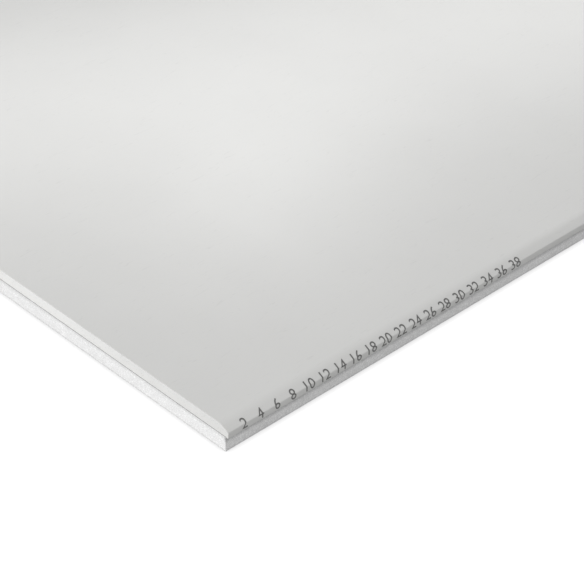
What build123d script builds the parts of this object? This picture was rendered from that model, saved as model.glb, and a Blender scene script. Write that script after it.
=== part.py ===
"""Foam-backed drywall sheet: a paper-lined gypsum board with a slab of bead foam glued to its back.

Millimetres. X runs along the length, Y across the width and Z up. The origin is the centre of the
foam's underside, so the sheet lies flat on its foam with the board's face upwards.
"""

import os

from build123d import *

# Whole sheet
SHEET_LENGTH = 2500.0
SHEET_WIDTH = 1250.0

# Gypsum board
BOARD_THICKNESS = 12.5
BEVEL_RUN = 9.6  # width of the bevel along each long edge, before its two corners are rounded
NOSE_HEIGHT = 7.0  # upright band of the long edge, below the bevel
SHOULDER_RADIUS = 16.5  # where the face rolls over into the bevel
CREASE_RADIUS = 1.5  # where the bevel turns down into the nose
FOOT_RADIUS = 1.2  # where the nose turns under to the back

# Foam backing
FOAM_THICKNESS = 17.0
FOAM_SETBACK = 4.2  # how far the foam stops short of the nose along each long edge

# Levels and widths that follow from the sizes above
board_back = FOAM_THICKNESS
board_face = board_back + BOARD_THICKNESS
nose_top = board_back + NOSE_HEIGHT
nose_edge = SHEET_WIDTH / 2
bevel_edge = nose_edge - BEVEL_RUN
foam_width = SHEET_WIDTH - 2 * FOAM_SETBACK

# Gypsum board: one constant section with rounded long edges, cut square at both ends
with BuildPart() as gypsum_board:
    with BuildSketch(Plane.YZ) as board_section:
        with BuildLine():
            face = Line((-bevel_edge, board_face), (bevel_edge, board_face))
            bevel = Line(face @ 1, (nose_edge, nose_top))
            nose = Line(bevel @ 1, (nose_edge, board_back))
            Line(nose @ 1, (-nose_edge, board_back))
            mirror([bevel, nose], about=Plane.YZ)
        make_face()
        # Rows of corners, rounded from the top down: the two shoulders, the two creases, the two feet
        fillet(board_section.vertices().group_by(Axis.Y)[2], radius=SHOULDER_RADIUS)
        fillet(board_section.vertices().group_by(Axis.Y)[1], radius=CREASE_RADIUS)
        fillet(board_section.vertices().group_by(Axis.Y)[0], radius=FOOT_RADIUS)
    extrude(amount=SHEET_LENGTH / 2, both=True)
gypsum_board.part.label = "gypsum_board"

# Foam backing: a plain slab cut square all round, flush with the board's two cut ends
with BuildPart() as foam_backing:
    with BuildSketch(Plane.XY):
        Rectangle(SHEET_LENGTH, foam_width)
    extrude(amount=FOAM_THICKNESS)
foam_backing.part.label = "foam_backing"

os.makedirs("parts", exist_ok=True)
for piece in (gypsum_board.part, foam_backing.part):
    export_step(piece, f"parts/{piece.label}.step")
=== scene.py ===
"""Looks of a foam-backed drywall sheet, laid out as a Blender add-on and run as a script.

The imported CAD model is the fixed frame. Lengths are metres. X runs along the sheet, Y across it and Z
up, and the corner that faces the camera is the one at low X and low Y.
"""

import math

import bmesh
import bpy
from bpy.props import FloatProperty, FloatVectorProperty, IntProperty, PointerProperty
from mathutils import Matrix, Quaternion, Vector


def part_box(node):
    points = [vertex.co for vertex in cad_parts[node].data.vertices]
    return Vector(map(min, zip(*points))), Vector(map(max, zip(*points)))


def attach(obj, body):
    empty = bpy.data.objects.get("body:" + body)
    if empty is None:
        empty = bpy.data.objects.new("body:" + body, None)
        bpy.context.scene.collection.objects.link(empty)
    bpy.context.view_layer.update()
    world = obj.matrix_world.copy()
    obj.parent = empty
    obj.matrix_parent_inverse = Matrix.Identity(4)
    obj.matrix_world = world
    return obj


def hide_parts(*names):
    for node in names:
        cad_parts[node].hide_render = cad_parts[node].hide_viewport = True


bl_info = {
    "name": "Foam-Backed Drywall Sheet",
    "version": (1, 0, 0),
    "blender": (4, 5, 0),
    "location": "View3D > Sidebar > Drywall",
    "description": "Dresses a drywall sheet in paper, gypsum and bead foam, and lights it",
    "category": "Add Mesh",
}

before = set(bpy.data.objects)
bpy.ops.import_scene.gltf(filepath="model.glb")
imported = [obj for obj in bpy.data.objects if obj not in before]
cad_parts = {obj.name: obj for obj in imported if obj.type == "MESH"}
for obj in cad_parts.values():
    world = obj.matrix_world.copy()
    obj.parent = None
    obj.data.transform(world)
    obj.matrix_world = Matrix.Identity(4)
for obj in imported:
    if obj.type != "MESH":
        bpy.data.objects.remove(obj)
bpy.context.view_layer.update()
BOARD_LOW, BOARD_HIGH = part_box("gypsum_board")
FOAM_LOW, FOAM_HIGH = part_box("foam_backing")
BODY = "root"

SHEET_LENGTH = BOARD_HIGH.x - BOARD_LOW.x
NOSE_EDGE = BOARD_HIGH.y
BOARD_FACE = BOARD_HIGH.z
BOARD_BACK = BOARD_LOW.z
NEAR_CORNER = Vector((BOARD_LOW.x, BOARD_LOW.y, BOARD_FACE))
FOAM_OVERHANG = NOSE_EDGE - FOAM_HIGH.y

TOLERANCE = 1e-6  # places closer than this are the same
STRAIGHT = 0.99  # least cosine of what runs along an axis
SMOOTH_ANGLE = math.radians(35.0)  # edges blunter than this are shaded smooth
CAP_SHARE = 0.72  # height of a numeral over the font's size
NUMERAL_ROWS = 24  # rows of faces that let a numeral follow the rounded edge
PAPER_ROUGHNESS = (0.55, 0.65)  # between fibres, and on them
PORE_LEVEL = 0.86  # brightness at the bottom of an air pore
SEAM_SHARE = 0.16  # how far a seam's shade reaches into a bead, over the bead's size
SIDE_DEPTH = 0.001  # foam this close behind a long side takes that side's shade
FLOOR_SIZE = 200.0
FLOOR_GAP = 0.0002  # keeps the floor off the foam's underside
VIEW_REACH = 500.0  # how far the camera sees


class BoardSettings(bpy.types.PropertyGroup):
    """Sizes and colours of the gypsum board and its paper"""

    bevel_run: FloatProperty(
        name="Bevel Run",
        description="Width of the bevel along each long edge, before its corners are rounded",
        default=0.0096,
        unit="LENGTH",
    )
    nose_height: FloatProperty(
        name="Nose Height",
        description="Height of the long edge's upright band, below the bevel",
        default=0.007,
        unit="LENGTH",
    )
    shoulder_radius: FloatProperty(
        name="Shoulder Radius",
        description="Radius where the face rolls over into the bevel",
        default=0.0165,
        unit="LENGTH",
    )
    crease_radius: FloatProperty(
        name="Crease Radius",
        description="Radius where the bevel turns down into the nose",
        default=0.0015,
        unit="LENGTH",
    )
    foot_radius: FloatProperty(
        name="Foot Radius",
        description="Radius where the nose turns under to the back",
        default=0.0012,
        unit="LENGTH",
    )
    paper_thickness: FloatProperty(
        name="Paper Thickness",
        description="Thickness of the paper on the face and the back",
        default=0.0005,
        unit="LENGTH",
    )
    flap: FloatProperty(
        name="Flap",
        description="How far the face paper is folded under the back",
        default=0.003,
        unit="LENGTH",
    )
    saw_chamfer: FloatProperty(
        name="Saw Chamfer",
        description="Crumbled arris of the gypsum along a cut end",
        default=0.0002,
        unit="LENGTH",
    )
    shoulder_steps: IntProperty(
        name="Shoulder Steps",
        description="Facets round the shoulder",
        default=16,
        min=2,
    )
    bend_steps: IntProperty(
        name="Bend Steps",
        description="Facets round the crease and the foot",
        default=6,
        min=2,
    )
    face_color: FloatVectorProperty(
        name="Face Paper",
        description="Colour of the paper on the face and the long edges",
        default=(0.661, 0.661, 0.650),
        subtype="COLOR",
        min=0.0,
        max=1.0,
    )
    back_color: FloatVectorProperty(
        name="Back Paper",
        description="Colour of the paper on the back, seen as a line at the cut ends",
        default=(0.26, 0.257, 0.25),
        subtype="COLOR",
        min=0.0,
        max=1.0,
    )
    # Painted shade: the gypsum greys towards each long edge over this reach and to this level, a wider band
    # than the denser edge gypsum of a board.
    hard_edge: FloatProperty(
        name="Hard Edge",
        description="How far the denser, greyer gypsum reaches in from each long edge",
        default=0.25,
        unit="LENGTH",
    )
    hard_level: FloatProperty(
        name="Hard Edge Level",
        description="Brightness of the gypsum at a long edge, against the middle",
        default=0.88,
        subtype="FACTOR",
        min=0.0,
        max=1.0,
    )
    core_color: FloatVectorProperty(
        name="Gypsum",
        description="Colour of the gypsum at the cut ends",
        default=(0.872, 0.872, 0.860),
        subtype="COLOR",
        min=0.0,
        max=1.0,
    )


class FoamSettings(bpy.types.PropertyGroup):
    """Grain and colour of the foam slab"""

    bead: FloatProperty(
        name="Bead Size",
        description="Mean width of a foam bead",
        default=0.0024,
        unit="LENGTH",
    )
    relief: FloatProperty(
        name="Bead Relief",
        description="Depth of the hollows between beads on the cut sides",
        default=0.0004,
        unit="LENGTH",
    )
    # Painted contact shade: the foam darkens towards its underside, where it stands on the floor.
    rim: FloatProperty(
        name="Rim",
        description="Height of the darkened rim round the underside",
        default=0.0020,
        unit="LENGTH",
    )
    # Painted shadow: the foam darkens just below the board, and lower down under the nose's overhang on the
    # long sides.
    joint: FloatProperty(
        name="Joint",
        description="Height of the shadowed band where the foam meets the board",
        default=0.0040,
        unit="LENGTH",
    )
    seam_level: FloatProperty(
        name="Seam Level",
        description="Brightness of the seams between beads",
        default=0.82,
        subtype="FACTOR",
        min=0.0,
        max=1.0,
    )
    dull_bead: FloatProperty(
        name="Dull Bead",
        description="Brightness of the dullest bead",
        default=0.93,
        min=0.0,
    )
    bright_bead: FloatProperty(
        name="Bright Bead",
        description="Brightness of the brightest bead",
        default=1.06,
        min=0.0,
    )
    # Painted contact shade at the foam's underside.
    rim_level: FloatProperty(
        name="Rim Level",
        description="Brightness at the foot of the rim",
        default=0.76,
        subtype="FACTOR",
        min=0.0,
        max=1.0,
    )
    # Painted shadow below the board, at the cut ends and under the long edges.
    end_joint_level: FloatProperty(
        name="End Joint Level",
        description="Brightness at the joint with the board, at the cut ends",
        default=0.79,
        subtype="FACTOR",
        min=0.0,
        max=1.0,
    )
    side_joint_level: FloatProperty(
        name="Side Joint Level",
        description="Brightness at the joint with the board, under the long edges",
        default=0.66,
        subtype="FACTOR",
        min=0.0,
        max=1.0,
    )
    facet: FloatProperty(
        name="Facet",
        description="Largest facet of the cut sides",
        default=0.0016,
        unit="LENGTH",
    )
    color: FloatVectorProperty(
        name="Foam",
        description="Colour of the foam",
        default=(0.965, 0.965, 0.965),
        subtype="COLOR",
        min=0.0,
        max=1.0,
    )


class NumberSettings(bpy.types.PropertyGroup):
    """The centimetre numbers on the long edge"""

    first: IntProperty(name="First", description="First number", default=2, min=0)
    last: IntProperty(name="Last", description="Last number", default=38, min=1)
    step: IntProperty(name="Step", description="Step from one number to the next", default=2, min=1)
    pitch: FloatProperty(
        name="Pitch",
        description="Distance along the edge for each unit",
        default=0.010,
        unit="LENGTH",
    )
    height: FloatProperty(
        name="Height",
        description="Height of a numeral",
        default=0.0105,
        unit="LENGTH",
    )
    margin: FloatProperty(
        name="Margin",
        description="Height of the numbers' feet above the foot of the nose",
        default=0.0006,
        unit="LENGTH",
    )
    slope: FloatProperty(
        name="Slope",
        description="Slope of the plane that the numbers are printed from, up from level",
        default=math.radians(60.0),
        subtype="ANGLE",
    )
    lift: FloatProperty(
        name="Ink Thickness",
        description="Thickness of the ink on the paper",
        default=0.0001,
        unit="LENGTH",
    )
    color: FloatVectorProperty(
        name="Ink",
        description="Colour of the numbers",
        default=(0.12, 0.12, 0.118),
        subtype="COLOR",
        min=0.0,
        max=1.0,
    )


class StageSettings(bpy.types.PropertyGroup):
    """Camera, lamps and floor"""

    azimuth: FloatProperty(
        name="Azimuth",
        description="Camera's turn round the sheet, from behind the near long edge",
        default=math.radians(-43.219),
        subtype="ANGLE",
    )
    elevation: FloatProperty(
        name="Elevation",
        description="Camera's height above the horizon",
        default=math.radians(36.132),
        subtype="ANGLE",
    )
    aim: FloatVectorProperty(
        name="Aim",
        description="Point on the face that the camera looks at, from the near corner",
        default=(0.18197, 0.11102, 0.0),
        unit="LENGTH",
    )
    distance: FloatProperty(
        name="Distance",
        description="Distance from the camera to its aim",
        default=2.14812,
        unit="LENGTH",
    )
    lens: FloatProperty(
        name="Lens",
        description="Focal length",
        default=137.65,
        unit="CAMERA",
    )
    sky: FloatProperty(
        name="Sky",
        description="Strength of the even light from all round",
        default=0.635,
        min=0.0,
    )
    key_place: FloatVectorProperty(
        name="Key Lamp",
        description="Place of the lamp that lights the cut end, from the near corner",
        default=(-2.078, -0.088, 0.7165),
        unit="LENGTH",
    )
    key_size: FloatVectorProperty(
        name="Key Lamp Size",
        description="Width and height of the key lamp",
        default=(1.0, 1.0),
        size=2,
        unit="LENGTH",
    )
    key_power: FloatProperty(
        name="Key Lamp Power",
        description="Power of the key lamp",
        default=24.3,
        unit="POWER",
    )
    strip_place: FloatVectorProperty(
        name="Strip Lamp",
        description="Place of the long lamp close above the face, from the near corner",
        default=(0.306, 0.542, 0.1905),
        unit="LENGTH",
    )
    strip_size: FloatVectorProperty(
        name="Strip Lamp Size",
        description="Width and length of the strip lamp",
        default=(0.342, 1.6),
        size=2,
        unit="LENGTH",
    )
    strip_turn: FloatProperty(
        name="Strip Lamp Turn",
        description="Turn of the strip lamp about the vertical",
        default=math.radians(67.5),
        subtype="ANGLE",
    )
    strip_power: FloatProperty(
        name="Strip Lamp Power",
        description="Power of the strip lamp",
        default=0.81,
        unit="POWER",
    )
    spot_place: FloatVectorProperty(
        name="Spot Lamp",
        description="Place of the small lamp close above the face, from the near corner",
        default=(0.301, 0.279, 0.1905),
        unit="LENGTH",
    )
    spot_size: FloatVectorProperty(
        name="Spot Lamp Size",
        description="Width and length of the spot lamp",
        default=(0.05, 0.279),
        size=2,
        unit="LENGTH",
    )
    spot_turn: FloatProperty(
        name="Spot Lamp Turn",
        description="Turn of the spot lamp about the vertical",
        default=math.radians(112.3),
        subtype="ANGLE",
    )
    spot_power: FloatProperty(
        name="Spot Lamp Power",
        description="Power of the spot lamp",
        default=0.092,
        unit="POWER",
    )
    far_place: FloatVectorProperty(
        name="Far Lamp",
        description="Place of the lamp above the far end, from the near corner",
        default=(2.85, 0.658, 1.9705),
        unit="LENGTH",
    )
    far_size: FloatVectorProperty(
        name="Far Lamp Size",
        description="Width and length of the far lamp",
        default=(0.2, 0.2),
        size=2,
        unit="LENGTH",
    )
    far_power: FloatProperty(
        name="Far Lamp Power",
        description="Power of the far lamp",
        default=21.4,
        unit="POWER",
    )
    contact: FloatProperty(
        name="Contact Shadow",
        description="Reach of the soft shadow where the sheet meets the floor",
        default=0.012,
        unit="LENGTH",
    )
    contact_glow: FloatProperty(
        name="Contact Glow",
        description="Glow of the floor where the sheet half covers it",
        default=0.67,
        min=0.0,
    )
    open_glow: FloatProperty(
        name="Open Glow",
        description="Glow of the open floor",
        default=1.06,
        min=0.0,
    )
    shadow_color: FloatProperty(
        name="Shadow Floor",
        description="Grey level under the floor's glow, which takes the lamps' shadow",
        default=0.22,
        subtype="FACTOR",
        min=0.0,
        max=1.0,
    )
    floor_color: FloatProperty(
        name="Floor",
        description="Grey level of the floor as it lights the sheet from below",
        default=0.42,
        min=0.0,
        max=1.0,
    )


# Shader nodes


def add_node(tree, kind, inputs=None, **values):
    """Adds a node; an input given a socket is linked to it, and any other input is set."""
    node = tree.nodes.new(kind)
    for key, value in values.items():
        setattr(node, key, value)
    for key, value in (inputs or {}).items():
        if isinstance(value, bpy.types.NodeSocket):
            tree.links.new(value, node.inputs[key])
        else:
            node.inputs[key].default_value = value
    return node


def maths(tree, operation, first, second):
    """Output of a Math node on two values or sockets."""
    return add_node(tree, "ShaderNodeMath", {0: first, 1: second}, operation=operation).outputs[0]


def ramp(tree, value, low, high, to_low, to_high):
    """Output of a Map Range node that runs from one level to another."""
    ends = {"Value": value, "From Min": low, "From Max": high, "To Min": to_low, "To Max": to_high}
    return add_node(tree, "ShaderNodeMapRange", ends).outputs["Result"]


def object_place(tree, stretch=(1.0, 1.0, 1.0)):
    """Object coordinates, scaled to stretch a pattern."""
    place = add_node(tree, "ShaderNodeTexCoord")
    scaled = {"Vector": place.outputs["Object"], "Scale": stretch}
    return add_node(tree, "ShaderNodeMapping", scaled).outputs["Vector"]


def new_group(name, inputs, outputs):
    """An empty shader node group with named sockets, and its input and output nodes."""
    tree = bpy.data.node_groups.new(name, "ShaderNodeTree")
    for label, kind, default in inputs:
        socket = tree.interface.new_socket(label, in_out="INPUT", socket_type=kind)
        socket.default_value = default
    for label, kind in outputs:
        tree.interface.new_socket(label, in_out="OUTPUT", socket_type=kind)
    return tree, tree.nodes.new("NodeGroupInput").outputs, tree.nodes.new("NodeGroupOutput").inputs


def tone_drift_group():
    """Cloudy lighter and darker patches on a colour, the same in every material of the sheet."""
    name = "Tone Drift"
    if name in bpy.data.node_groups:
        return bpy.data.node_groups[name]
    tree, given, result = new_group(
        name,
        [
            ("Color", "NodeSocketColor", (1.0, 1.0, 1.0, 1.0)),
            ("Scale", "NodeSocketFloat", 10.0),
            ("Depth", "NodeSocketFloat", 0.02),
        ],
        [("Color", "NodeSocketColor")],
    )
    cloud = add_node(
        tree,
        "ShaderNodeTexNoise",
        {"Vector": object_place(tree), "Scale": given["Scale"], "Detail": 4.0},
    )
    darkest = maths(tree, "SUBTRACT", 1.0, given["Depth"])
    lightest = maths(tree, "ADD", 1.0, given["Depth"])
    level = ramp(tree, cloud.outputs["Fac"], 0.25, 0.75, darkest, lightest)
    toned = add_node(tree, "ShaderNodeHueSaturation", {"Color": given["Color"], "Value": level})
    tree.links.new(toned.outputs["Color"], result["Color"])
    return tree


def fibre_grain_group():
    """Paper fibres lying along the sheet: their height, and a mask of the few dark ones."""
    name = "Fibre Grain"
    if name in bpy.data.node_groups:
        return bpy.data.node_groups[name]
    tree, given, result = new_group(
        name,
        [("Scale", "NodeSocketFloat", 900.0), ("Flecks", "NodeSocketFloat", 0.3)],
        [("Height", "NodeSocketFloat"), ("Fleck", "NodeSocketFloat")],
    )
    along = object_place(tree, (0.16, 1.0, 1.0))
    fibres = add_node(
        tree,
        "ShaderNodeTexNoise",
        {"Vector": along, "Scale": given["Scale"], "Detail": 3.0, "Roughness": 0.6},
    )
    coarse = maths(tree, "MULTIPLY", given["Scale"], 0.4)
    stray = add_node(
        tree,
        "ShaderNodeTexNoise",
        {"Vector": along, "Scale": coarse, "Detail": 1.0, "Distortion": 1.5},
    )
    mask = ramp(tree, stray.outputs["Fac"], 0.66, 0.76, 0.0, given["Flecks"])
    tree.links.new(fibres.outputs["Fac"], result["Height"])
    tree.links.new(mask, result["Fleck"])
    return tree


def new_material(name):
    """A new material, its node tree and its Principled BSDF."""
    material = bpy.data.materials.new(name)
    material.use_nodes = True
    return material, material.node_tree, material.node_tree.nodes["Principled BSDF"]


def drifted(tree, color, scale, depth):
    """Output of the shared tone drift on a plain colour."""
    inputs = {"Color": (*color, 1.0), "Scale": scale, "Depth": depth}
    return add_node(tree, "ShaderNodeGroup", inputs, node_tree=tone_drift_group()).outputs["Color"]


def link_bump(tree, shader, height, distance, strength):
    """Feeds a height into the shader's normal."""
    bump = add_node(tree, "ShaderNodeBump", {"Height": height, "Distance": distance, "Strength": strength})
    tree.links.new(bump.outputs["Normal"], shader.inputs["Normal"])


def paper_material(name, color, flecks):
    """Uncoated liner paper: soft clouds, fibres along the sheet and hardly any sheen."""
    material, tree, shader = new_material(name)
    grain = add_node(tree, "ShaderNodeGroup", {"Flecks": flecks}, node_tree=fibre_grain_group())
    clouds = drifted(tree, color, scale=14.0, depth=0.012)
    kept = maths(tree, "SUBTRACT", 1.0, grain.outputs["Fleck"])
    flecked = add_node(tree, "ShaderNodeHueSaturation", {"Color": clouds, "Value": kept})
    tree.links.new(flecked.outputs["Color"], shader.inputs["Base Color"])
    roughness = ramp(tree, grain.outputs["Height"], 0.3, 0.7, *PAPER_ROUGHNESS)
    tree.links.new(roughness, shader.inputs["Roughness"])
    link_bump(tree, shader, grain.outputs["Height"], distance=0.00002, strength=0.25)
    return material


def gypsum_material(board):
    """Sawn gypsum: chalky, with small dark air pores, and greyer towards the long edges by painted shade,
    partly the denser edge gypsum.
    """
    material, tree, shader = new_material("sawn_gypsum")
    place = object_place(tree)
    pores = add_node(tree, "ShaderNodeTexVoronoi", {"Vector": place, "Scale": 420.0})
    solid = ramp(tree, pores.outputs["Distance"], 0.10, 0.30, 0.0, 1.0)
    chalk = drifted(tree, board.core_color, scale=60.0, depth=0.02)
    pore_shade = ramp(tree, solid, 0.0, 1.0, PORE_LEVEL, 1.0)
    xyz = add_node(tree, "ShaderNodeSeparateXYZ", {"Vector": place}).outputs
    # Painted shade: darker towards each long edge, partly the denser edge gypsum.
    across = maths(tree, "ABSOLUTE", xyz["Y"], 0.0)
    painted_hard_edge_shade = ramp(tree, across, NOSE_EDGE - board.hard_edge, NOSE_EDGE, 1.0, board.hard_level)
    shade = maths(tree, "MULTIPLY", pore_shade, painted_hard_edge_shade)
    pitted = add_node(tree, "ShaderNodeHueSaturation", {"Color": chalk, "Value": shade})
    tree.links.new(pitted.outputs["Color"], shader.inputs["Base Color"])
    shader.inputs["Roughness"].default_value = 0.95
    shader.inputs["Specular IOR Level"].default_value = 0.2
    link_bump(tree, shader, solid, distance=0.0002, strength=0.5)
    return material


def foam_material(foam):
    """Cut bead foam: each bead its own shade of white, with darker seams between beads, painted contact
    shade at its foot and painted shadow under the board.
    """
    material, tree, shader = new_material("bead_foam")
    place = object_place(tree)
    cells = {"Vector": place, "Scale": 1.0 / foam.bead}
    beads = add_node(tree, "ShaderNodeTexVoronoi", cells)
    seams = add_node(tree, "ShaderNodeTexVoronoi", cells, feature="DISTANCE_TO_EDGE")
    seam_shade = ramp(tree, seams.outputs["Distance"], 0.0, SEAM_SHARE, foam.seam_level, 1.0)
    bead_tint = add_node(tree, "ShaderNodeSeparateColor", {"Color": beads.outputs["Color"]})
    bead_shade = ramp(tree, bead_tint.outputs["Red"], 0.0, 1.0, foam.dull_bead, foam.bright_bead)
    xyz = add_node(tree, "ShaderNodeSeparateXYZ", {"Vector": place}).outputs
    height = xyz["Z"]
    # Painted contact shade: darker towards the underside.
    painted_contact_shade = ramp(tree, height, FOAM_LOW.z, FOAM_LOW.z + foam.rim, foam.rim_level, 1.0)
    # Painted shadow below the board, moved down under the nose's overhang on the long sides.
    across = maths(tree, "ABSOLUTE", xyz["Y"], 0.0)
    side = FOAM_HIGH.y - SIDE_DEPTH
    on_side = ramp(tree, across, side - SIDE_DEPTH, side, 0.0, 1.0)
    top = ramp(tree, on_side, 0.0, 1.0, FOAM_HIGH.z, FOAM_HIGH.z - FOAM_OVERHANG)
    foot = maths(tree, "SUBTRACT", top, foam.joint)
    darkest = ramp(tree, on_side, 0.0, 1.0, foam.end_joint_level, foam.side_joint_level)
    painted_joint_shadow = ramp(tree, height, foot, top, 1.0, darkest)
    grain = maths(tree, "MULTIPLY", seam_shade, bead_shade)
    shade = maths(tree, "MULTIPLY", grain, maths(tree, "MULTIPLY", painted_contact_shade, painted_joint_shadow))
    cloud = drifted(tree, foam.color, scale=25.0, depth=0.015)
    grained = add_node(tree, "ShaderNodeHueSaturation", {"Color": cloud, "Value": shade})
    tree.links.new(grained.outputs["Color"], shader.inputs["Base Color"])
    shader.inputs["Roughness"].default_value = 0.7
    shader.inputs["Specular IOR Level"].default_value = 0.3
    link_bump(tree, shader, seam_shade, distance=foam.relief, strength=0.4)
    return material


def ink_material(color):
    """Printing ink that has sunk unevenly into the paper."""
    material, tree, shader = new_material("edge_ink")
    tree.links.new(drifted(tree, color, scale=700.0, depth=0.25), shader.inputs["Base Color"])
    shader.inputs["Roughness"].default_value = 0.6
    return material


# Modelling


def start_piece(name):
    """Names the new primitive, with its size and place put into its mesh."""
    piece = bpy.context.object
    piece.name = name
    piece.data.name = name
    bpy.ops.object.transform_apply(location=True, rotation=True, scale=True)
    return piece


def select_edges(piece, wanted):
    """In edit mode, selects just the edges that the test accepts."""
    bpy.ops.mesh.select_mode(type="EDGE")
    bpy.ops.mesh.select_all(action="DESELECT")
    mesh = bmesh.from_edit_mesh(piece.data)
    for edge in mesh.edges:
        edge.select_set(wanted(edge))
    bmesh.update_edit_mesh(piece.data)


def select_faces(piece, wanted):
    """In edit mode, selects just the faces that the test accepts."""
    bpy.ops.mesh.select_mode(type="FACE")
    bpy.ops.mesh.select_all(action="DESELECT")
    mesh = bmesh.from_edit_mesh(piece.data)
    for face in mesh.faces:
        face.select_set(wanted(face))
    bmesh.update_edit_mesh(piece.data)


def runs_along(edge, axis):
    """True for an edge that is parallel to that axis."""
    way = edge.verts[1].co - edge.verts[0].co
    return abs(way[axis]) > STRAIGHT * way.length


def apply_modifier(piece, kind, **values):
    """Adds a modifier with these settings and applies it."""
    bpy.ops.object.modifier_add(type=kind)
    modifier = piece.modifiers[-1]
    for key, value in values.items():
        setattr(modifier, key, value)
    bpy.ops.object.modifier_apply(modifier=modifier.name)


def finish_piece(piece, material, node=None):
    """Gives a piece its shading and material and fixes it to the frame."""
    bpy.ops.object.shade_smooth_by_angle(angle=SMOOTH_ANGLE)
    piece.data.materials.append(material)
    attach(piece, BODY)
    if node:
        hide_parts(node)


def bend(side, out, up, angle, steps):
    """Spins the selected edge round a line along the sheet, outwards and down on that side."""
    bpy.ops.mesh.spin(steps=steps, angle=side * angle, center=(0.0, side * out, up), axis=(1.0, 0.0, 0.0))


def slide(y=0.0, z=0.0):
    """Extrudes the selected edge straight across or down."""
    bpy.ops.mesh.extrude_region_move(TRANSFORM_OT_translate={"value": (0.0, y, z)})


def board_skin(name, board, inset):
    """An open skin, that far inside the board's surface, from flap to flap over the face."""
    nose_top = BOARD_BACK + board.nose_height
    drop = BOARD_FACE - nose_top
    slope = math.atan2(drop, board.bevel_run)
    shoulder_cut = board.shoulder_radius * math.tan(slope / 2)
    crease_cut = board.crease_radius * math.tan((math.pi / 2 - slope) / 2)
    flat_edge = NOSE_EDGE - board.bevel_run - shoulder_cut
    shoulder_up = BOARD_FACE - board.shoulder_radius
    bevel = math.hypot(board.bevel_run, drop) - shoulder_cut - crease_cut
    crease_out = NOSE_EDGE - board.crease_radius
    crease_up = nose_top - crease_cut
    foot_out = NOSE_EDGE - board.foot_radius
    foot_up = BOARD_BACK + board.foot_radius

    bpy.ops.object.select_all(action="DESELECT")
    bpy.ops.mesh.primitive_plane_add(size=1.0, location=(0.0, 0.0, BOARD_FACE - inset))
    bpy.context.object.scale = (SHEET_LENGTH, 2.0 * flat_edge, 1.0)
    piece = start_piece(name)
    bpy.ops.object.mode_set(mode="EDIT")
    for side in (-1.0, 1.0):
        brink = side * flat_edge
        select_edges(piece, lambda edge: all(abs(v.co.y - brink) < TOLERANCE for v in edge.verts))
        bend(side, flat_edge, shoulder_up, slope, board.shoulder_steps)
        slide(y=side * bevel * math.cos(slope), z=-bevel * math.sin(slope))
        bend(side, crease_out, crease_up, math.pi / 2 - slope, board.bend_steps)
        slide(z=foot_up - crease_up)
        bend(side, foot_out, foot_up, math.pi / 2, board.bend_steps)
        slide(y=-side * board.flap)
    bpy.ops.mesh.select_all(action="SELECT")
    bpy.ops.mesh.remove_doubles(threshold=TOLERANCE)
    bpy.ops.mesh.normals_make_consistent(inside=False)
    return piece


class DRYWALL_OT_paper(bpy.types.Operator):
    """Adds the face paper, wrapped round both long edges, and the back paper"""

    bl_idname = "drywall.paper"
    bl_label = "Add Paper"

    def execute(self, context):
        board = context.scene.drywall_board
        face = board_skin("face_paper", board, 0.0)
        bpy.ops.object.mode_set(mode="OBJECT")
        apply_modifier(face, "SOLIDIFY", thickness=board.paper_thickness, offset=-1.0, use_even_offset=True)
        face_look = paper_material("face_paper", board.face_color, flecks=0.05)
        finish_piece(face, face_look, "gypsum_board")

        bpy.ops.object.select_all(action="DESELECT")
        flap_edge = NOSE_EDGE - board.foot_radius - board.flap
        bpy.ops.mesh.primitive_plane_add(size=1.0, location=(0.0, 0.0, BOARD_BACK))
        bpy.context.object.scale = (SHEET_LENGTH, 2.0 * (flap_edge - board.paper_thickness), 1.0)
        back = start_piece("back_paper")
        apply_modifier(back, "SOLIDIFY", thickness=board.paper_thickness, offset=1.0)
        back_look = paper_material("back_paper", board.back_color, flecks=0.12)
        finish_piece(back, back_look, "gypsum_board")
        return {"FINISHED"}


class DRYWALL_OT_gypsum(bpy.types.Operator):
    """Adds the gypsum core, which shows at the two cut ends"""

    bl_idname = "drywall.gypsum"
    bl_label = "Add Gypsum"

    def execute(self, context):
        board = context.scene.drywall_board
        core = board_skin("gypsum_core", board, board.paper_thickness)
        select_edges(core, lambda edge: edge.is_boundary and runs_along(edge, 0))
        bpy.ops.mesh.edge_face_add()
        bpy.ops.mesh.select_all(action="SELECT")
        bpy.ops.mesh.fill_holes(sides=0)
        end = SHEET_LENGTH / 2
        select_edges(core, lambda edge: all(abs(v.co.x) > end - TOLERANCE for v in edge.verts))
        bpy.ops.mesh.bevel(offset=board.saw_chamfer, segments=1)
        bpy.ops.mesh.select_all(action="SELECT")
        bpy.ops.mesh.normals_make_consistent(inside=False)
        bpy.ops.object.mode_set(mode="OBJECT")
        finish_piece(core, gypsum_material(board), "gypsum_board")
        return {"FINISHED"}


def bead_relief_tree(foam):
    """Geometry nodes that hollow the seams between beads, on the cells that the colour has."""
    tree = bpy.data.node_groups.new("Bead Relief", "GeometryNodeTree")
    for way in ("INPUT", "OUTPUT"):
        tree.interface.new_socket("Geometry", in_out=way, socket_type="NodeSocketGeometry")
    given = tree.nodes.new("NodeGroupInput").outputs
    result = tree.nodes.new("NodeGroupOutput").inputs
    place = add_node(tree, "GeometryNodeInputPosition").outputs[0]
    beads = add_node(tree, "ShaderNodeTexVoronoi", {"Vector": place, "Scale": 1.0 / foam.bead})
    hollow = maths(tree, "MULTIPLY", beads.outputs["Distance"], beads.outputs["Distance"])
    depth = maths(tree, "MULTIPLY", hollow, -foam.relief)
    way = add_node(tree, "GeometryNodeInputNormal").outputs[0]
    offset = add_node(tree, "ShaderNodeVectorMath", {0: way, "Scale": depth}, operation="SCALE")
    moved = add_node(
        tree,
        "GeometryNodeSetPosition",
        {"Geometry": given["Geometry"], "Offset": offset.outputs[0]},
    )
    tree.links.new(moved.outputs["Geometry"], result["Geometry"])
    return tree


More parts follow.
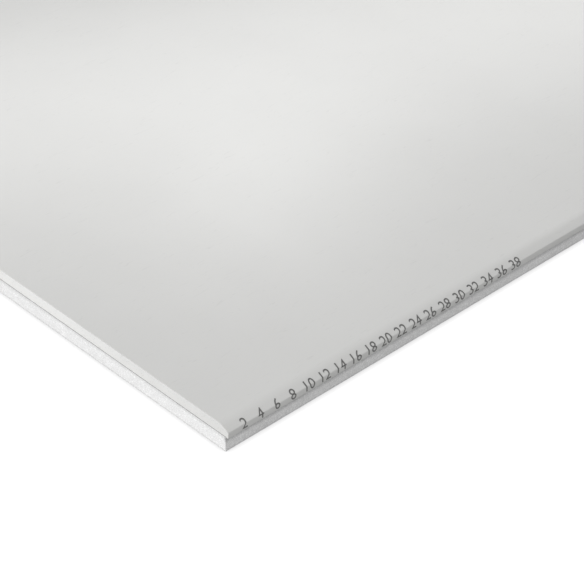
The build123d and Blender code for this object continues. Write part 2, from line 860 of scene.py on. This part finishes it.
class DRYWALL_OT_foam(bpy.types.Operator):
    """Adds the foam slab, with the beads' relief on its four cut sides"""

    bl_idname = "drywall.foam"
    bl_label = "Add Foam"

    def execute(self, context):
        foam = context.scene.drywall_foam
        size = FOAM_HIGH - FOAM_LOW
        bpy.ops.object.select_all(action="DESELECT")
        bpy.ops.mesh.primitive_cube_add(size=1.0, location=(FOAM_LOW + FOAM_HIGH) / 2)
        bpy.context.object.scale = size
        slab = start_piece("foam_slab")
        bpy.ops.object.mode_set(mode="EDIT")
        select_faces(slab, lambda face: abs(face.normal.z) > STRAIGHT)
        bpy.ops.mesh.delete(type="ONLY_FACE")
        # Cut in two passes, because one pass makes at most 100 cuts
        for axis in range(3):
            cuts = math.ceil(math.sqrt(size[axis] / foam.facet)) - 1
            for _ in range(2):
                select_edges(slab, lambda edge: runs_along(edge, axis))
                bpy.ops.mesh.subdivide(number_cuts=cuts)
        bpy.ops.object.mode_set(mode="OBJECT")
        apply_modifier(slab, "NODES", node_group=bead_relief_tree(foam))
        bpy.ops.object.mode_set(mode="EDIT")
        bpy.ops.mesh.select_all(action="SELECT")
        bpy.ops.mesh.fill_holes(sides=0)
        bpy.ops.mesh.select_all(action="SELECT")
        bpy.ops.mesh.normals_make_consistent(inside=False)
        bpy.ops.object.mode_set(mode="OBJECT")
        finish_piece(slab, foam_material(foam), "foam_backing")
        return {"FINISHED"}


class DRYWALL_OT_numbers(bpy.types.Operator):
    """Prints a row of centimetre numbers on the long edge, from the near corner"""

    bl_idname = "drywall.numbers"
    bl_label = "Print Numbers"

    def execute(self, context):
        board = context.scene.drywall_board
        numbers = context.scene.drywall_numbers
        bpy.ops.object.select_all(action="DESELECT")
        printed = []
        for number in range(numbers.first, numbers.last + 1, numbers.step):
            bpy.ops.object.text_add(location=(number * numbers.pitch, 0.0, 0.0))
            text = bpy.context.object
            text.data.body = str(number)
            text.data.size = numbers.height / CAP_SHARE
            text.data.align_x = "CENTER"
            text.data.resolution_u = 3
            printed.append(text)
        for text in printed:
            text.select_set(True)
        bpy.context.view_layer.objects.active = printed[0]
        bpy.ops.object.convert(target="MESH")
        bpy.ops.object.join()
        piece = start_piece("edge_numbers")
        bpy.ops.object.mode_set(mode="EDIT")
        for row in range(1, NUMERAL_ROWS):
            bpy.ops.mesh.select_all(action="SELECT")
            level = row * numbers.height / NUMERAL_ROWS
            bpy.ops.mesh.bisect(plane_co=(0.0, level, 0.0), plane_no=(0.0, 1.0, 0.0))
        bpy.ops.object.mode_set(mode="OBJECT")
        start = Vector((BOARD_LOW.x, BOARD_LOW.y, BOARD_BACK + board.foot_radius + numbers.margin))
        outwards = Vector((0.0, -math.sin(numbers.slope), math.cos(numbers.slope)))
        piece.location = start + numbers.height * outwards
        piece.rotation_euler = (numbers.slope, 0.0, 0.0)
        apply_modifier(
            piece,
            "SHRINKWRAP",
            target=bpy.data.objects["face_paper"],
            wrap_method="PROJECT",
            use_project_z=True,
            use_negative_direction=True,
            use_positive_direction=False,
            offset=numbers.lift / 2,
        )
        apply_modifier(piece, "SOLIDIFY", thickness=numbers.lift, offset=1.0)
        bpy.ops.object.transform_apply(location=True, rotation=True, scale=True)
        finish_piece(piece, ink_material(numbers.color))
        return {"FINISHED"}


# Stage


def add_lamp(name, place, target, size, power, turn=0.0):
    """A soft oblong lamp that faces a point, turned about its own axis."""
    bpy.ops.object.light_add(type="AREA", location=place)
    lamp = bpy.context.object
    lamp.name = name
    facing = (target - place).to_track_quat("-Z", "Y")
    lamp.rotation_euler = (facing @ Quaternion((0.0, 0.0, 1.0), turn)).to_euler()
    lamp.data.shape = "RECTANGLE"
    lamp.data.size, lamp.data.size_y = size
    lamp.data.energy = power
    lamp.visible_camera = False


def seen_directly(tree):
    """Output that is 1 for what the camera sees, straight or in gloss or glass."""
    path = add_node(tree, "ShaderNodeLightPath").outputs
    mirrored = maths(tree, "MAXIMUM", path["Is Glossy Ray"], path["Is Transmission Ray"])
    return maths(tree, "MAXIMUM", path["Is Camera Ray"], mirrored)


def floor_material(stage):
    """A floor that looks white and keeps the shadow, and lights the sheet as a grey one would."""
    material = bpy.data.materials.new("studio_floor")
    material.use_nodes = True
    tree = material.node_tree
    tree.nodes.clear()
    seen = seen_directly(tree)
    level = ramp(tree, seen, 0.0, 1.0, stage.floor_color, stage.shadow_color)
    grey = add_node(tree, "ShaderNodeCombineColor", {"Red": level, "Green": level, "Blue": level})
    matte = add_node(tree, "ShaderNodeBsdfDiffuse", {"Color": grey.outputs["Color"]})
    # Painted contact shadow: the floor's glow dims where the sheet closes off the nearby sky.
    open_sky = add_node(tree, "ShaderNodeAmbientOcclusion", {"Distance": stage.contact}).outputs["AO"]
    lift = ramp(tree, open_sky, 0.5, 1.0, stage.contact_glow, stage.open_glow)
    glow = add_node(tree, "ShaderNodeEmission", {"Strength": maths(tree, "MULTIPLY", lift, seen)})
    both = add_node(tree, "ShaderNodeAddShader", {0: matte.outputs["BSDF"], 1: glow.outputs["Emission"]})
    add_node(tree, "ShaderNodeOutputMaterial", {"Surface": both.outputs["Shader"]})
    return material


class DRYWALL_OT_stage(bpy.types.Operator):
    """Adds the floor, the lamps, the sky and the camera"""

    bl_idname = "drywall.stage"
    bl_label = "Add Stage"

    def execute(self, context):
        scene = context.scene
        stage = scene.drywall_stage
        scene.view_settings.view_transform = "Standard"

        bpy.ops.object.select_all(action="DESELECT")
        bpy.ops.mesh.primitive_plane_add(size=FLOOR_SIZE, location=(0.0, 0.0, FOAM_LOW.z - FLOOR_GAP))
        floor = bpy.context.object
        floor.name = "floor"
        floor.data.materials.append(floor_material(stage))

        world = bpy.data.worlds.new("studio_sky")
        world.use_nodes = True
        scene.world = world
        tree = world.node_tree
        sky = tree.nodes["Background"]
        sky.inputs["Color"].default_value = (1.0, 1.0, 1.0, 1.0)
        tree.links.new(ramp(tree, seen_directly(tree), 0.0, 1.0, stage.sky, 1.0), sky.inputs["Strength"])

        key = NEAR_CORNER + Vector(stage.key_place)
        strip = NEAR_CORNER + Vector(stage.strip_place)
        spot = NEAR_CORNER + Vector(stage.spot_place)
        far = NEAR_CORNER + Vector(stage.far_place)
        below = Vector((0.0, 0.0, -1.0))
        add_lamp("key_lamp", key, NEAR_CORNER, stage.key_size, stage.key_power)
        add_lamp("strip_lamp", strip, strip + below, stage.strip_size, stage.strip_power, stage.strip_turn)
        add_lamp("spot_lamp", spot, spot + below, stage.spot_size, stage.spot_power, stage.spot_turn)
        add_lamp("far_lamp", far, far + below, stage.far_size, stage.far_power)

        elevation, azimuth = stage.elevation, stage.azimuth
        back = Vector(
            (
                math.sin(azimuth) * math.cos(elevation),
                -math.cos(azimuth) * math.cos(elevation),
                math.sin(elevation),
            )
        )
        aim = NEAR_CORNER + Vector(stage.aim)
        bpy.ops.object.camera_add(location=aim + stage.distance * back)
        camera = bpy.context.object
        camera.rotation_euler = back.to_track_quat("Z", "Y").to_euler()
        camera.data.lens = stage.lens
        camera.data.clip_end = VIEW_REACH
        scene.camera = camera
        return {"FINISHED"}


class DRYWALL_PT_panel(bpy.types.Panel):
    """The sheet's settings and the buttons that build it"""

    bl_label = "Drywall Sheet"
    bl_idname = "DRYWALL_PT_panel"
    bl_space_type = "VIEW_3D"
    bl_region_type = "UI"
    bl_category = "Drywall"

    def draw(self, context):
        for operator in OPERATORS:
            self.layout.operator(operator.bl_idname)
        for name in SETTINGS:
            group = getattr(context.scene, name)
            box = self.layout.box()
            for setting in group.__annotations__:
                box.prop(group, setting)


OPERATORS = (
    DRYWALL_OT_paper,
    DRYWALL_OT_gypsum,
    DRYWALL_OT_foam,
    DRYWALL_OT_numbers,
    DRYWALL_OT_stage,
)
SETTINGS = {
    "drywall_board": BoardSettings,
    "drywall_foam": FoamSettings,
    "drywall_numbers": NumberSettings,
    "drywall_stage": StageSettings,
}


def register():
    for name, group in SETTINGS.items():
        bpy.utils.register_class(group)
        setattr(bpy.types.Scene, name, PointerProperty(type=group))
    for operator in OPERATORS:
        bpy.utils.register_class(operator)
    bpy.utils.register_class(DRYWALL_PT_panel)


def unregister():
    bpy.utils.unregister_class(DRYWALL_PT_panel)
    for operator in reversed(OPERATORS):
        bpy.utils.unregister_class(operator)
    for name, group in reversed(SETTINGS.items()):
        delattr(bpy.types.Scene, name)
        bpy.utils.unregister_class(group)


def main():
    register()
    bpy.ops.drywall.paper()
    bpy.ops.drywall.gypsum()
    bpy.ops.drywall.foam()
    bpy.ops.drywall.numbers()
    bpy.ops.drywall.stage()


if __name__ == "__main__":
    main()
